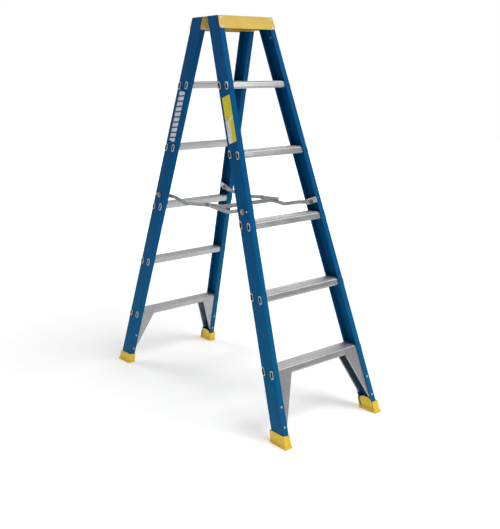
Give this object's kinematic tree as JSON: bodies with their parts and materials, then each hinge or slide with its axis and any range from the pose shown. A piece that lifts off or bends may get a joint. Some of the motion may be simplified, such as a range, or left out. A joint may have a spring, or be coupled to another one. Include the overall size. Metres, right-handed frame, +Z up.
{
  "type": "step ladder",
  "caption": "Double-sided folding step ladder with channel rails, hollow treads, yellow caps and boots, gusset braces and a hinged spreader.",
  "frame": {"origin": "on the ground, centred under the top hinge", "axes": "+Z up, +X along the treads, +Y from the front frame to the rear frame"},
  "size_m": [0.5546, 1.319, 1.703],
  "materials": {
    "blue_fibreglass": "satin pultruded fibreglass",
    "tread_aluminium": "mill finish, ribbed",
    "brace_aluminium": "mill finish sheet",
    "yellow_paint": "powder coat, satin",
    "yellow_rubber": "moulded, matt",
    "zinc_steel": "galvanised, dull"
  },
  "bodies": {
    "front_frame": {"front_rail_left": "blue_fibreglass", "front_boot_left": "yellow_rubber", "front_gusset_outer_left": "brace_aluminium", "front_gusset_inner_left": "brace_aluminium", "front_spreader_bracket_left": "zinc_steel", "front_pivot_bolt_left": "zinc_steel", "front_rail_right": "blue_fibreglass", "front_boot_right": "yellow_rubber", "front_gusset_outer_right": "brace_aluminium", "front_gusset_inner_right": "brace_aluminium", "front_spreader_bracket_right": "zinc_steel", "front_pivot_bolt_right": "zinc_steel", "front_tread_1": "tread_aluminium", "front_tread_2": "tread_aluminium", "front_tread_3": "tread_aluminium", "front_tread_4": "tread_aluminium", "front_tread_5": "tread_aluminium", "front_cap": "yellow_paint", "hinge_leaf_front": "zinc_steel", "hinge_pin": "zinc_steel"},
    "rear_frame": {"rear_rail_left": "blue_fibreglass", "rear_boot_left": "yellow_rubber", "rear_gusset_outer_left": "brace_aluminium", "rear_gusset_inner_left": "brace_aluminium", "rear_spreader_bracket_left": "zinc_steel", "rear_pivot_bolt_left": "zinc_steel", "rear_rail_right": "blue_fibreglass", "rear_boot_right": "yellow_rubber", "rear_gusset_outer_right": "brace_aluminium", "rear_gusset_inner_right": "brace_aluminium", "rear_spreader_bracket_right": "zinc_steel", "rear_pivot_bolt_right": "zinc_steel", "rear_tread_1": "tread_aluminium", "rear_tread_2": "tread_aluminium", "rear_tread_3": "tread_aluminium", "rear_tread_4": "tread_aluminium", "rear_tread_5": "tread_aluminium", "rear_cap": "yellow_paint", "hinge_leaf_rear": "zinc_steel"},
    "front_spreader": {"spreader_arm_front_left": "zinc_steel", "knuckle_rivet_inner_left": "zinc_steel", "spreader_arm_front_right": "zinc_steel", "knuckle_rivet_inner_right": "zinc_steel", "spreader_crossbar": "zinc_steel"},
    "rear_arm_left": {"spreader_arm_rear_left": "zinc_steel", "knuckle_rivet_outer_left": "zinc_steel"},
    "rear_arm_right": {"spreader_arm_rear_right": "zinc_steel", "knuckle_rivet_outer_right": "zinc_steel"}
  },
  "joints": [
    {"name": "frame_fold", "type": "hinge", "parent": "front_frame", "child": "rear_frame", "pos_m": [0, 0, 1.693], "axis": [-1, 0, 0], "range_deg": [0, 36.4]},
    {"name": "front_spreader_swing", "type": "hinge", "parent": "front_frame", "child": "front_spreader", "pos_m": [0, -0.319, 0.897], "axis": [1, 0, 0], "range_deg": [0, 64.6]},
    {"name": "rear_arm_left_swing", "type": "hinge", "parent": "rear_frame", "child": "rear_arm_left", "pos_m": [-0.1735, 0.319, 0.897], "axis": [-1, 0, 0], "range_deg": [0, 64.6]},
    {"name": "rear_arm_right_swing", "type": "hinge", "parent": "rear_frame", "child": "rear_arm_right", "pos_m": [0.1735, 0.319, 0.897], "axis": [-1, 0, 0], "range_deg": [0, 64.6]}
  ],
  "couplings": [
    {"joint": "front_spreader_swing", "follows": "frame_fold", "ratio": 1.772},
    {"joint": "rear_arm_left_swing", "follows": "frame_fold", "ratio": 1.772},
    {"joint": "rear_arm_right_swing", "follows": "frame_fold", "ratio": 1.772}
  ]
}
